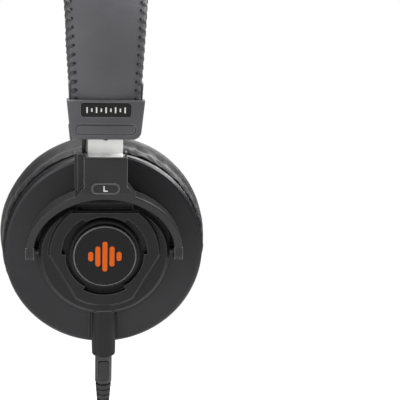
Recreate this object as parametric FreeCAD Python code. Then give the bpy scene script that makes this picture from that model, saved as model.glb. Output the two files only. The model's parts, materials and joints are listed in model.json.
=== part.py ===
"""Closed-back monitoring headphones with a sprung, wrapped headband and a detachable single-sided cord.

Frame: millimetres, +Z up, X from ear to ear with +X the wearer's left, -Y the wearer's front.
The origin is the top of the headband's inside face, where a hook or a head carries the headphones.

Each side is drawn once in a cup frame and then placed: there X (u) points out of the cup, Y is Y, and
Z (w) points up along the slider. Its origin is the centre of the ear cup's rim plane.
"""
import FreeCAD, Part
import math
import os

V = FreeCAD.Vector

# Placing of the two sides
TILT = 16.5                 # the relaxed band leans each cup in at the bottom, degrees
CUP_X = 57.0                # rim plane centre from the middle plane

# Headband
CROWN_R = 110.0             # slider line's radius over the head
CROWN_HALF_ANGLE = 32.0
LINE_U = 9.0                # slider line, out from the rim plane
STRAIGHT_TOP_W = 84.0       # the band is straight below this height
BAND_OUT = 3.9              # leather faces, from the slider line
BAND_IN = 6.1
BAND_END_W = 62.0
BAND_HALF_TOP = 20.5
BAND_HALF_MID = 19.8
BAND_HALF_END = 16.6
SKIN = 1.0
SPRING_OFFSET = 2.0
SPRING_THICK = 0.8
SPRING_HALF = 9.0

# End caps
CAP_BOTTOM_W = 57.3
CAP_FRONT_TOP_W = 76.0
CAP_BACK_TOP_W = 83.0
CAP_BACK_U = 1.5
CAP_SPLIT_U = 10.0
CAP_FRONT_U = 15.2
CAP_HALF_TOP = 18.2          # front half
CAP_BACK_HALF_TOP = 17.5
CAP_HALF_BOTTOM = 16.3
CAP_FLOOR = 2.6
LABEL = (23.0, 6.3, 0.8)    # width, height, thickness
LABEL_W = 71.6
RIDGE = (27.5, 4.2, 0.6)
RIDGE_W = 62.2
RIDGE_GROOVE = (0.6, 0.5)    # width and depth of the groove round the ridge
SCREW_Y = 14.2
SCREW_W = 66.0

# Slider strip and the swivel
STRIP_HALF = 8.3
STRIP_THICK = 1.2
STRIP_TOP_W = 86.0
DETENT_R = 2.0
DETENT_PITCH = 6.0
DETENT_FIRST_W = 57.6
TAB_W = 48.35               # underside of the bent tab
TAB_FRONT_U = 16.7
RIVET_U = 13.5
RIVET_R = 1.6
RIVET_HEAD_R = 2.8
LEAD_Y = -9.95
LEAD_R = 1.0
LEAD_END_W = 49.2          # inside the mouth of the yoke's channel

# Yoke
PIVOT_U = 7.0
YOKE_IN = (34.0, 28.9)      # half width and height of the opening
YOKE_OUT = (38.1, 33.0)
YOKE_TIP_R = 4.4
STEM_HALF = 10.15
STEM_TOP_W = 49.7
STEM_FLOOR_W = 48.0        # the tab turns on this floor, behind the stem's lip
STEM_LIP_U = 18.0
STEM_WALL_TOP_W = 50.6
STEM_BACK_U = 8.0
STEM_FRONT_U = 19.5
TIP_BACK_U = 4.0
TIP_FRONT_U = 12.4
PILASTER_Y = (-14.6, -9.0)
PILASTER_FRONT_U = 15.5
PILASTER_FOOT_W = 32.6
MARK_W = 34.8
MARK = (13.2, 5.2)
MARK_BEAD = (0.45, 0.25)    # width and height of the line round the mark
FLARE = 5.0                  # the stem's slanted foot spreads this far each side
FLARE_W = (29.6, 36.2)       # and runs between these heights
YOKE_ROUND = 0.9
PIN_R = 1.95
PIN_HOLE_R = 2.0

# Ear cup
RIM_R = 49.0
CUP_DROP = 2.5              # the rim, cushion and driver sit this far below the hub's centre
HUB_R = 31.8
HUB_TOP = 26.2              # the hub is lower above the pivot, to clear the yoke
HUB_FLAT_W = 24.6
HUB_BASE_U = 3.0
HUB_STEP_U = 11.0
HUB_FRONT_U = 13.3
HUB_CHAMFER = 1.5
HUB_WALL = 2.4
PLATEAU_R = 27.3
PLATEAU_TOP_W = 21.9
PLATEAU_FLAT = 24.0
LOBE_R = (20.9, 19.0)
RECESS_U = 10.0
DISC_R = 15.3
DISC_FRONT_U = 16.2
TRIM_R = 17.4
TRIM_FRONT_U = 13.8
SHELL_BACK_U = -14.0
BAFFLE_BACK_U = -17.0
SKIRT_U = -6.9              # the cushion's skirt starts behind the shell's groove
PAD_BACK_U = -40.0
PAD_R = 51.0
PAD_HOLE_R = 28.0
DRIVER_R = 25.2
BADGE_BARS = (4.8, 10.2, 15.2, 10.2, 4.8)
BADGE_BAR_WIDTH = 2.4
BADGE_PITCH = 3.4

# Socket, plug and cord
SOCKET_U = 5.0
BOSS_HALF = 5.8
BOSS_TOP_W = -29.0
BOSS_SHOULDER = (7.4, 0.5)   # half width and height of the step each side
BOSS_END_W = -55.2
NOSE_R = 3.4
PLUG_R = 4.2
PLUG_END_W = -71.3
BUTTON = (10.5, 5.2, 0.9)   # length, width, height over the barrel
RELIEF_END_W = -94.0
CORD_R = 2.0
COIL_IN_R = 20.0
COIL_OUT_R = 36.0
COIL_HALF = 10.0
JACK_R = 4.6
JACK_BARREL_END = -30.0
JACK_PIN_R = 1.75
JACK_PIN_LENGTH = 14.0

SIN_TILT = math.sin(math.radians(TILT))
COS_TILT = math.cos(math.radians(TILT))
CROWN_SIN = math.sin(math.radians(CROWN_HALF_ANGLE))
CROWN_COS = math.cos(math.radians(CROWN_HALF_ANGLE))
STRAIGHT_TOP_X = CUP_X + LINE_U * COS_TILT + STRAIGHT_TOP_W * SIN_TILT
SHOULDER_R = (STRAIGHT_TOP_X - CROWN_R * CROWN_SIN) / (COS_TILT - CROWN_SIN)
LINE_TOP_Z = BAND_IN
STRAIGHT_TOP_Z = LINE_TOP_Z - CROWN_R * (1 - CROWN_COS) - SHOULDER_R * (CROWN_COS + SIN_TILT)
CUP_Z = STRAIGHT_TOP_Z + LINE_U * SIN_TILT - STRAIGHT_TOP_W * COS_TILT
CUP_PLACE = FreeCAD.Placement(V(CUP_X, 0, CUP_Z), FreeCAD.Rotation(V(0, 1, 0), TILT))


def save(name, shape):
    """Write one sub-part, in place, to its own STEP file."""
    shape.exportStep(f"parts/{name}.step")


def block(u, y, w):
    """Box from three (low, high) pairs."""
    return Part.makeBox(u[1] - u[0], y[1] - y[0], w[1] - w[0], V(u[0], y[0], w[0]))


def rod(radius, start, end):
    """Cylinder from one point to another."""
    return Part.makeCylinder(radius, (end - start).Length, start, end - start)


def spun(points, centre=V(0, 0, 0), axis=V(1, 0, 0), side=V(0, 0, 1)):
    """Solid of revolution from (along, radius) points."""
    corners = [centre + axis * along + side * radius for along, radius in points]
    face = Part.Face(Part.makePolygon(corners + corners[:1]))
    return face.revolve(centre, axis, 360)


def plate(outline, u):
    """Extrude a closed wire that lies in the plane u = 0 between two heights."""
    wire = outline.copy()
    wire.translate(V(u[0], 0, 0))
    return Part.Face(wire).extrude(V(u[1] - u[0], 0, 0))


def polygon(points):
    """Closed wire through (y, w) points."""
    corners = [V(0, y, w) for y, w in points]
    return Part.makePolygon(corners + corners[:1])


def pill(width, height, w, u):
    """Flat rounded bar across the front, centred on y = 0."""
    end = (width - height) / 2
    bar = block(u, (-end, end), (w - height / 2, w + height / 2))
    for y in (-end, end):
        bar = bar.fuse(rod(height / 2, V(u[0], y, w), V(u[1], y, w)))
    return bar.removeSplitter()


def rounded_plate(width, height, corner, w, u):
    """Rectangle with rounded corners, centred on y = 0."""
    slab = block(u, (-width / 2, width / 2), (w - height / 2, w + height / 2))
    corners = [edge for edge in slab.Edges if abs(edge.tangentAt(edge.FirstParameter).x) > 0.99]
    return slab.makeFillet(corner, corners)


def edges_at(shape, low, high):
    """Edges that lie wholly between two values of u."""
    return [edge for edge in shape.Edges if low <= edge.BoundBox.XMin and edge.BoundBox.XMax <= high]


# ---------------------------------------------------------------- headband

def band_point(angle, offset):
    """Point beside the slider line, where its tangent has turned by angle from the crown."""
    turn = math.radians(angle)
    bend = min(abs(turn), math.radians(CROWN_HALF_ANGLE))
    x = CROWN_R * math.sin(bend) + SHOULDER_R * (math.sin(abs(turn)) - math.sin(bend))
    z = LINE_TOP_Z - CROWN_R * (1 - math.cos(bend)) - SHOULDER_R * (math.cos(bend) - math.cos(turn))
    x += offset * math.sin(abs(turn))
    return V(math.copysign(x, angle), 0, z + offset * math.cos(turn))


def cup_to_world(u, w, side=1):
    """World point of a point on a side's middle plane."""
    return V(side * (CUP_X + u * COS_TILT + w * SIN_TILT), 0, CUP_Z - u * SIN_TILT + w * COS_TILT)


def band_edge(offset, end_w):
    """Edges of one long side of the band, from its right end over the crown to its left end."""
    last = 90 + TILT
    stops = (-last, -CROWN_HALF_ANGLE, CROWN_HALF_ANGLE, last)
    edges = [Part.LineSegment(cup_to_world(LINE_U + offset, end_w, -1), band_point(-last, offset)).toShape()]
    for first, second in zip(stops, stops[1:]):
        middle = band_point((first + second) / 2 or 0.0, offset)
        edges.append(Part.Arc(band_point(first, offset), middle, band_point(second, offset)).toShape())
    edges.append(Part.LineSegment(band_point(last, offset), cup_to_world(LINE_U + offset, end_w)).toShape())
    return edges


def band_solid(inner, outer, end_w, half):
    """Curved strip between two offsets of the slider line."""
    low, high = band_edge(inner, end_w), band_edge(outer, end_w)
    ends = []
    for side in (-1, 1):
        ends.append(Part.makeLine(cup_to_world(LINE_U + inner, end_w, side),
                                  cup_to_world(LINE_U + outer, end_w, side)))
    face = Part.Face(Part.Wire(low + [ends[1]] + high[::-1] + [ends[0]]))
    face.translate(V(0, -half, 0))
    return face.extrude(V(0, 2 * half, 0))


def taper(shrink):
    """Prism that narrows the band towards its ends."""
    reach = 2 * CROWN_R
    heights = (CUP_Z, CUP_Z + 80, CUP_Z + 122, 2 * BAND_IN)
    halves = (BAND_HALF_END, BAND_HALF_END, BAND_HALF_MID, BAND_HALF_TOP)
    right = [(half - shrink, z) for half, z in zip(halves, heights)]
    left = [(-y, z) for y, z in reversed(right)]
    return plate(polygon(right + left), (-reach, reach))


def both_sides(shape):
    """A shape drawn in the cup frame, placed on the left and mirrored to the right."""
    left = placed(shape, 1)
    return [left, placed(shape, -1)]


def placed(shape, side):
    """Move a shape from the cup frame to the left side (1) or the right side (-1)."""
    moved = shape.copy()
    moved.Placement = CUP_PLACE.multiply(moved.Placement)
    return moved if side == 1 else moved.mirror(V(0, 0, 0), V(1, 0, 0))


def strip_pocket(top):
    """Room for the slider strip and the lead beside it."""
    height = (CAP_BOTTOM_W - 1, top)
    room = block((LINE_U - 1.0, LINE_U + 1.0), (-STRIP_HALF - 0.4, STRIP_HALF + 0.4), height)
    lead = block((LINE_U - 1.7, LINE_U + 1.7), (LEAD_Y - LEAD_R - 0.5, LEAD_Y + LEAD_R), height)
    return room.fuse(lead)


def screw_holes(radius, u):
    """Both cap screw holes of a side."""
    holes = [rod(radius, V(u[0], y, SCREW_W), V(u[1], y, SCREW_W)) for y in (-SCREW_Y, SCREW_Y)]
    return holes[0].fuse(holes[1])


def headband():
    """Wrapped leather skin, foam core and spring steel strip."""
    skin = band_solid(-BAND_IN, BAND_OUT, BAND_END_W, BAND_HALF_TOP).common(taper(0))
    hollow = band_solid(-BAND_IN + SKIN, BAND_OUT - SKIN, BAND_END_W - 5, BAND_HALF_TOP).common(taper(SKIN))
    foam = band_solid(-BAND_IN + SKIN + 0.1, SPRING_OFFSET - 0.2, BAND_END_W, BAND_HALF_TOP)
    foam = foam.common(taper(SKIN + 0.1))
    spring = band_solid(SPRING_OFFSET, SPRING_OFFSET + SPRING_THICK, BAND_END_W + 1, SPRING_HALF)
    skin = skin.cut(hollow)
    for room in both_sides(strip_pocket(STRIP_TOP_W + 8).fuse(detent_room())):
        foam = foam.cut(room)
    for holes in both_sides(screw_holes(1.5, (0, 20))):
        foam = foam.cut(holes)
        skin = skin.cut(holes)
    save("headband_cover", skin)
    save("headband_foam", foam)
    save("headband_spring", spring)


# ---------------------------------------------------------------- end caps

def cap_outline(top_w, top):
    """Cap outline, narrower at its bottom."""
    bottom = CAP_HALF_BOTTOM
    points = [(-bottom, CAP_BOTTOM_W), (bottom, CAP_BOTTOM_W), (top, top_w), (-top, top_w)]
    return polygon(points)


def round_bottom(shape, radius):
    """Round the two lower corners of a cap half."""
    corners = []
    for edge in shape.Edges:
        box = edge.BoundBox
        if box.XLength > 3 and box.YLength < 0.2 and box.ZMax < CAP_BOTTOM_W + 0.1 and abs(box.YMin) > 10:
            corners.append(edge)
    return shape.makeFillet(radius, corners)


def cap_front():
    """Outer half of the end cap, with the label's recess and the long ridge."""
    cap = round_bottom(plate(cap_outline(CAP_FRONT_TOP_W, CAP_HALF_TOP), (CAP_SPLIT_U, CAP_FRONT_U)), 4.0)
    cap = cap.makeFillet(1.1, edges_at(cap, CAP_FRONT_U - 0.01, CAP_FRONT_U + 0.01))
    inside = block((CAP_SPLIT_U - 1, LINE_U + BAND_OUT + 0.1), (-BAND_HALF_END - 0.15, BAND_HALF_END + 0.15),
                   (CAP_BOTTOM_W + CAP_FLOOR, CAP_BACK_TOP_W))
    recess = rounded_plate(LABEL[0] + 0.5, LABEL[1] + 0.5, 1.3, LABEL_W, (CAP_FRONT_U - 0.4, CAP_FRONT_U + 1))
    ridge_top = CAP_FRONT_U + RIDGE[2]
    ridge = pill(RIDGE[0], RIDGE[1], RIDGE_W, (CAP_FRONT_U - 0.5, ridge_top))
    ridge = ridge.makeFillet(0.5, edges_at(ridge, ridge_top - 0.01, ridge_top + 0.01))
    widen = 2 * RIDGE_GROOVE[0]
    depth = (CAP_FRONT_U - RIDGE_GROOVE[1], CAP_FRONT_U + 1)
    groove = pill(RIDGE[0] + widen, RIDGE[1] + widen, RIDGE_W, depth)
    holes = screw_holes(1.1, (0, CAP_FRONT_U - 0.8))
    return cap.cut(inside).cut(recess).cut(groove).cut(strip_pocket(CAP_BACK_TOP_W)).cut(holes).fuse(ridge)


def cap_back():
    """Inner half of the end cap: it stands higher and wraps the band's edges."""
    cap = round_bottom(plate(cap_outline(CAP_BACK_TOP_W, CAP_BACK_HALF_TOP), (CAP_BACK_U, CAP_SPLIT_U)), 4.0)
    cap = cap.makeFillet(1.1, edges_at(cap, CAP_BACK_U - 0.01, CAP_BACK_U + 0.01))
    inside = block((LINE_U - BAND_IN - 0.1, CAP_SPLIT_U + 1), (-BAND_HALF_END - 0.15, BAND_HALF_END + 0.15),
                   (CAP_BOTTOM_W + CAP_FLOOR, CAP_BACK_TOP_W + 1))
    holes = screw_holes(1.1, (0, 20)).fuse(screw_holes(2.1, (0, CAP_BACK_U + 0.9)))
    return cap.cut(inside).cut(strip_pocket(CAP_BACK_TOP_W)).cut(holes)


def cap_screws():
    """Two pan-head screws that close the cap."""
    screws = []
    for y in (-SCREW_Y, SCREW_Y):
        shank = rod(1.1, V(CAP_BACK_U + 0.3, y, SCREW_W), V(CAP_FRONT_U - 1.0, y, SCREW_W))
        head = rod(2.0, V(CAP_BACK_U + 0.1, y, SCREW_W), V(CAP_BACK_U + 0.9, y, SCREW_W))
        depth = (CAP_BACK_U - 1, CAP_BACK_U + 0.5)
        slot = block(depth, (y - 1.3, y + 1.3), (SCREW_W - 0.25, SCREW_W + 0.25))
        cross = block(depth, (y - 0.25, y + 0.25), (SCREW_W - 1.3, SCREW_W + 1.3))
        screws.append(shank.fuse(head).cut(slot).cut(cross))
    return Part.makeCompound(screws)


def detent_spring():
    """Leaf with a dome that clicks into the strip's holes."""
    face_u = LINE_U - STRIP_THICK / 2 - 0.35
    bottom = CAP_BOTTOM_W + CAP_FLOOR + 0.4
    leaf = block((face_u - 1.1, face_u - 0.7), (-3.0, 3.0), (bottom, bottom + 11))
    dome = Part.makeSphere(1.6, V(face_u - 1.6, 0, DETENT_FIRST_W + DETENT_PITCH))
    dome = dome.common(block((face_u - 0.7, face_u), (-3, 3), (bottom, bottom + 11)))
    return leaf.fuse(dome)


def detent_room():
    """Relief in the foam behind the strip for the detent leaf."""
    face_u = LINE_U - STRIP_THICK / 2 - 0.35
    return block((face_u - 1.6, face_u + 0.2), (-3.5, 3.5), (CAP_BOTTOM_W, CAP_BOTTOM_W + 16))


def label_plate():
    """Blank name plate with a row of raised ticks."""
    back = CAP_FRONT_U - 0.4
    label = rounded_plate(LABEL[0], LABEL[1], 1.1, LABEL_W, (back, back + LABEL[2]))
    for step in range(-4, 5):
        height = 2.6 if step % 2 == 0 else 1.5
        y = step * 2.2
        tick = block((back + LABEL[2] - 0.1, back + LABEL[2] + 0.12), (y - 0.3, y + 0.3),
                     (LABEL_W - height / 2, LABEL_W + height / 2))
        label = label.fuse(tick)
    return label


# ---------------------------------------------------------------- slider

def slider_strip():
    """Steel strip with detent holes, bent forward into the swivel's tab."""
    back, front = LINE_U - STRIP_THICK / 2, LINE_U + STRIP_THICK / 2
    strip = block((back, front), (-STRIP_HALF, STRIP_HALF), (TAB_W, STRIP_TOP_W))
    tab = block((back, TAB_FRONT_U), (-STRIP_HALF, STRIP_HALF), (TAB_W, TAB_W + STRIP_THICK))
    tab = tab.makeFillet(3.0, [edge for edge in tab.Edges
                               if edge.BoundBox.ZLength > 1 and edge.BoundBox.XMin > TAB_FRONT_U - 0.1])
    bent = strip.fuse(tab).removeSplitter()
    outer = [edge for edge in bent.Edges if edge.BoundBox.YLength > 10 and edge.BoundBox.XMax < back + 0.01
             and edge.BoundBox.ZMax < TAB_W + 0.01]
    bent = bent.makeFillet(1.1, outer)
    count = int((STRIP_TOP_W - 3 - DETENT_FIRST_W) // DETENT_PITCH) + 1
    for index in range(count):
        w = DETENT_FIRST_W + index * DETENT_PITCH
        bent = bent.cut(rod(DETENT_R, V(back - 1, 0, w), V(front + 1, 0, w)))
    return bent.cut(rod(RIVET_R, V(RIVET_U, 0, TAB_W - 1), V(RIVET_U, 0, TAB_W + 3)))


def swivel_rivet():
    """Domed rivet through the tab, turning in the yoke's stem."""
    top = TAB_W + STRIP_THICK
    shank = rod(RIVET_R, V(RIVET_U, 0, STEM_FLOOR_W - 6.0), V(RIVET_U, 0, top))
    head = Part.makeSphere(RIVET_HEAD_R * 1.45, V(RIVET_U, 0, top + 1.2 - RIVET_HEAD_R * 1.45))
    head = head.common(rod(RIVET_HEAD_R, V(RIVET_U, 0, top), V(RIVET_U, 0, top + 3)))
    return shank.fuse(head)


def slider_lead():
    """Signal lead beside the strip, from the band's pocket into the yoke's channel."""
    return rod(LEAD_R, V(LINE_U, LEAD_Y - 0.1, LEAD_END_W), V(LINE_U, LEAD_Y - 0.1, STRIP_TOP_W))


# ---------------------------------------------------------------- yoke

def half_ring(radii):
    """Upper half-ellipse closed straight down to the arm tips."""
    half, height = radii
    ellipse = Part.Ellipse(V(0, 0, 0), half, height)
    turned = FreeCAD.Placement(V(0, 0, 0), FreeCAD.Rotation(V(0, 1, 0), V(0, 0, 1), V(1, 0, 0), "ZXY"))
    arc = Part.ArcOfEllipse(ellipse, 0, math.pi).toShape()
    arc.Placement = turned
    foot = -2 * YOKE_TIP_R
    corners = [V(0, half, 0), V(0, half, foot), V(0, -half, foot), V(0, -half, 0)]
    sides = [Part.makeLine(first, second) for first, second in zip(corners, corners[1:])]
    return Part.Wire([arc] + sides)


def stem_outline():
    """Stem that spreads at a slant into the arch below it."""
    foot, low, high = YOKE_IN[1] - 3.0, FLARE_W[0], FLARE_W[1]
    wide = STEM_HALF + FLARE
    right = [(wide, foot), (wide, low), (STEM_HALF, high), (STEM_HALF, STEM_TOP_W)]
    left = [(-y, w) for y, w in reversed(right)]
    return polygon(right + left)


def yoke_blank():
    """Arch and stem before the pockets are cut."""
    depth = (0, STEM_FRONT_U)
    arch = plate(half_ring(YOKE_OUT), depth)
    stem = plate(stem_outline(), depth)
    blank = arch.fuse(stem).cut(plate(half_ring(YOKE_IN), (-1, STEM_FRONT_U + 1))).removeSplitter()
    tips = block(depth, (-YOKE_OUT[0], YOKE_OUT[0]), (0, STEM_TOP_W))
    tips = tips.fuse(rod(YOKE_TIP_R, V(PIVOT_U + 1.2, -YOKE_OUT[0], 0), V(PIVOT_U + 1.2, YOKE_OUT[0], 0)))
    blank = blank.common(tips)
    side = [(TIP_BACK_U, -6), (TIP_FRONT_U, -6), (TIP_FRONT_U, 3), (STEM_FRONT_U, 33), (STEM_FRONT_U, 60),
            (STEM_BACK_U, 60), (STEM_BACK_U, 32), (TIP_BACK_U, 2)]
    corners = [V(u, -50, w) for u, w in side]
    profile = Part.Face(Part.makePolygon(corners + corners[:1])).extrude(V(0, 100, 0))
    blank = blank.common(profile)
    return blank.makeFillet(YOKE_ROUND, front_edges(blank))


def front_edges(shape):
    """Edges round the faces that look outwards."""
    found = []
    for face in shape.Faces:
        if face.normalAt(0, 0).x < 0.9 or face.CenterOfMass.x < PIVOT_U:
            continue
        for edge in face.Edges:
            if edge.BoundBox.YLength > 1 and not any(edge.isSame(other) for other in found):
                found.append(edge)
    return found


def yoke_walls():
    """Side walls beside the strip and the channel for the lead at the front."""
    parts = [block((STEM_BACK_U, RIVET_U - 1), (9.35, STEM_HALF), (STEM_FLOOR_W - 1, STEM_WALL_TOP_W))]
    pilaster = block((STEM_BACK_U, PILASTER_FRONT_U), PILASTER_Y, (PILASTER_FOOT_W, STEM_WALL_TOP_W))
    front = [edge for edge in pilaster.Edges if edge.BoundBox.ZLength > 10
             and edge.BoundBox.XMin > PILASTER_FRONT_U - 0.1 and edge.BoundBox.YMax < PILASTER_Y[0] + 0.1]
    foot = [edge for edge in pilaster.Edges if edge.BoundBox.XLength > 5
            and edge.BoundBox.ZMax < PILASTER_FOOT_W + 0.1 and edge.BoundBox.YMax < PILASTER_Y[0] + 0.1]
    parts.append(pilaster.makeChamfer(1.4, front + foot))
    return parts


def mark_bead():
    """Fine raised line round the ear letter."""
    depth = (STEM_FRONT_U - 0.3, STEM_FRONT_U + MARK_BEAD[1])
    width, height = MARK
    narrow = 2 * MARK_BEAD[0]
    inside = pill(width - narrow, height - narrow, MARK_W, (STEM_FRONT_U - 1, STEM_FRONT_U + 1))
    return pill(width, height, MARK_W, depth).cut(inside)


def yoke():
    """The fork: stem, two arms, pivot holes, swivel hole and the line round its mark."""
    body = yoke_blank()
    for part in yoke_walls():
        body = body.fuse(part)
    top_room = block((STEM_BACK_U - 1, STEM_LIP_U), (-9.3, 9.3), (STEM_FLOOR_W, STEM_WALL_TOP_W + 1))
    channel = rod(3.5, V(LINE_U, LEAD_Y - 0.6, 44.5), V(LINE_U, LEAD_Y - 0.6, 60))
    swivel = rod(RIVET_R + 0.06, V(RIVET_U, 0, STEM_FLOOR_W - 6.4), V(RIVET_U, 0, STEM_FLOOR_W + 1))
    body = body.cut(top_room).cut(channel).cut(swivel).fuse(mark_bead())
    body = body.cut(rod(PIN_R, V(PIVOT_U, -60, 0), V(PIVOT_U, 60, 0)))
    return body.removeSplitter()


def pivot_screws():
    """Shouldered pins pressed through the arm tips into the hub's bores."""
    pins = []
    for side in (-1, 1):
        outer = side * (YOKE_OUT[0] - 0.2)
        pin = rod(PIN_R, V(PIVOT_U, side * 26.5, 0), V(PIVOT_U, outer, 0))
        slot = block((PIVOT_U - 1.5, PIVOT_U + 1.5), sorted((outer, outer - side * 0.7)), (-0.3, 0.3))
        pins.append(pin.cut(slot))
    return Part.makeCompound(pins)


def letter(side):
    """Raised L or R on the stem: which ear the side is for."""
    u = (STEM_FRONT_U, STEM_FRONT_U + MARK_BEAD[1])
    low, high = MARK_W - 1.35, MARK_W + 1.35
    stroke = 0.55
    upright = block(u, (-1.05, -1.05 + stroke), (low, high))
    if side == 1:
        return upright.fuse(block(u, (-1.05, 1.0), (low, low + stroke))).removeSplitter()
    bowl_r = 0.8
    bowl_w = high - bowl_r
    middle = [V(depth, 0.2, bowl_w) for depth in u]
    bowl = block(u, (-1.0, 0.2), (bowl_w - bowl_r, high)).fuse(rod(bowl_r, *middle))
    inner = bowl_r - stroke
    hole = block(u, (-0.5, 0.2), (bowl_w - inner, bowl_w + inner)).fuse(rod(inner, *middle))
    leg_top = bowl_w - bowl_r + 0.2
    leg = plate(polygon([(-0.3, leg_top), (0.35, leg_top), (1.1, low), (0.45, low)]), u)
    return upright.fuse(bowl.cut(hole)).fuse(leg).removeSplitter()


# ---------------------------------------------------------------- ear cup

def screw_spots(radius, count, first):
    """(y, w) points evenly round a circle."""
    angles = [math.radians(first + index * 360 / count) for index in range(count)]
    return [(radius * math.cos(angle), radius * math.sin(angle)) for angle in angles]


def lowered(shape):
    """Move a shape that is centred on the hub down to the rim's centre."""
    shape.translate(V(0, 0, -CUP_DROP))
    return shape


def under_dish(lift):
    """Solid under the cup's dished front, or a little above it."""
    dish = spun([(HUB_BASE_U + lift, 0), (HUB_BASE_U + lift, 33.2), (0.6 + lift, 47.0), (lift, 48.2),
                 (-1.0, RIM_R + lift), (-4.8, RIM_R + lift), (-4.8, 0)])
    return lowered(dish)


def cup_shell(side):
    """Rim, dished front and screw posts of the cup; the left one leaves room for the socket."""
    shell = spun([(HUB_BASE_U, 0), (HUB_BASE_U, 33.2), (0.6, 47.0), (0.0, 48.2), (-1.0, RIM_R), (-4.8, RIM_R),
                  (-5.4, 48.4), (-5.4, 47.3), (-6.6, 47.3), (-6.6, 48.5), (SHELL_BACK_U, 48.5),
                  (SHELL_BACK_U, 45.2), (-2.6, 45.2), (0.6, 33.0), (0.6, 0)])
    for y, w in screw_spots(41.5, 4, 45):
        post = rod(3.2, V(-1.0, y, w), V(SHELL_BACK_U, y, w))
        shell = shell.fuse(post).cut(rod(1.1, V(-3.0, y, w), V(SHELL_BACK_U - 1, y, w)))
    shell = lowered(shell)
    return shell.cut(socket_bore(0.1)) if side == 1 else shell


def hub_outline(shrink):
    """Round below the pivot, flattened above it where the yoke passes."""
    lower = Part.Face(Part.Wire(Part.Circle(V(0, 0, 0), V(1, 0, 0), HUB_R - shrink).toShape()))
    lower = lower.extrude(V(40, 0, 0)).common(block((0, 40), (-60, 60), (-60, 0)))
    ellipse = Part.Ellipse(V(0, 0, 0), HUB_R - shrink, HUB_TOP - shrink)
    turned = FreeCAD.Placement(V(0, 0, 0), FreeCAD.Rotation(V(0, 1, 0), V(0, 0, 1), V(1, 0, 0), "ZXY"))
    rim = Part.Wire(ellipse.toShape())
    rim.Placement = turned
    upper = Part.Face(rim).extrude(V(40, 0, 0))
    upper = upper.common(block((0, 40), (-60, 60), (0, HUB_FLAT_W - shrink)))
    return lower.fuse(upper).removeSplitter()


def level(shape, low, high):
    """Slice of a prism between two heights."""
    return shape.common(block((low, high), (-60, 60), (-60, 60)))


def plateau():
    """Raised face of the hub: a circle with three flats."""
    disc = rod(PLATEAU_R, V(RECESS_U - 1, 0, 0), V(HUB_FRONT_U, 0, 0))
    disc = disc.common(block((0, 40), (-60, 60), (-60, PLATEAU_TOP_W)))
    for turn in (120, -120):
        keep = block((0, 40), (-60, 60), (-60, PLATEAU_FLAT))
        keep.rotate(V(0, 0, 0), V(1, 0, 0), turn)
        disc = disc.common(keep)
    disc = disc.removeSplitter()
    return disc.makeChamfer(1.1, edges_at(disc, HUB_FRONT_U - 0.01, HUB_FRONT_U + 0.01))


def lobed_recess():
    """Bayonet-like recess: sectors of two radii round the centre disc."""
    depth = (RECESS_U, HUB_FRONT_U + 5)
    wide = rod(LOBE_R[0], V(depth[0], 0, 0), V(depth[1], 0, 0))
    sectors = None
    for middle in (30, 150, 270):
        reach = 40
        spread = [math.radians(middle - 30), math.radians(middle + 30)]
        fan = [(0, 0)] + [(reach * math.cos(angle), reach * math.sin(angle)) for angle in spread]
        sector = plate(polygon(fan), depth)
        sectors = sector if sectors is None else sectors.fuse(sector)
    return wide.common(sectors).fuse(rod(LOBE_R[1], V(depth[0], 0, 0), V(depth[1], 0, 0)))


def hub_base(shrink):
    """Lower step of the hub, chamfered round its front edge."""
    base = level(hub_outline(shrink), HUB_BASE_U, HUB_STEP_U)
    return base.makeChamfer(HUB_CHAMFER, edges_at(base, HUB_STEP_U - 0.01, HUB_STEP_U + 0.01))


def hub_cover():
    """Cover over the cup's middle, with the yoke's bores in its sides."""
    cover = hub_base(0).fuse(plateau()).cut(lobed_recess())
    cover = cover.cut(level(hub_outline(HUB_WALL), HUB_BASE_U - 1, RECESS_U - 2.0))
    for side in (-1, 1):
        boss = rod(3.9, V(PIVOT_U, side * 25, 0), V(PIVOT_U, side * (HUB_R - 1), 0))
        cover = cover.fuse(boss.common(block((HUB_BASE_U, RECESS_U - 1), (-60, 60), (-20, 20))))
        cover = cover.cut(rod(PIN_HOLE_R, V(PIVOT_U, side * 26, 0), V(PIVOT_U, side * 40, 0)))
    notch = block((HUB_STEP_U - 2.5, HUB_FRONT_U + 1), (-13.5, 13.5), (PLATEAU_TOP_W - 0.2, HUB_FLAT_W + 3))
    return cover.cut(notch)


def trim_ring():
    """Ring between the recess and the centre disc."""
    return spun([(RECESS_U, DISC_R + 0.2), (RECESS_U, TRIM_R), (TRIM_FRONT_U - 0.6, TRIM_R),
                 (TRIM_FRONT_U, TRIM_R - 0.6), (TRIM_FRONT_U, DISC_R + 0.2)])


def centre_disc():
    """Gloss disc with a bright chamfer and a shallow recess for the badge."""
    disc = spun([(RECESS_U, 0), (RECESS_U, DISC_R), (DISC_FRONT_U - 0.8, DISC_R),
                 (DISC_FRONT_U, DISC_R - 0.8), (DISC_FRONT_U, 0)])
    return disc.cut(badge_bars(0.4, DISC_FRONT_U - 0.4, DISC_FRONT_U + 1))


def badge_bars(grow, back, front):
    """Five upright rounded bars, tallest in the middle."""
    bars = []
    for index, height in enumerate(BADGE_BARS):
        y = (index - 2) * BADGE_PITCH
        radius = (BADGE_BAR_WIDTH + grow) / 2
        end = max((height - BADGE_BAR_WIDTH) / 2, 0)
        bar = block((back, front), (y - radius, y + radius), (-end, end))
        for w in (-end, end):
            bar = bar.fuse(rod(radius, V(back, y, w), V(front, y, w)))
        bars.append(bar.removeSplitter())
    return Part.makeCompound(bars)


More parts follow.
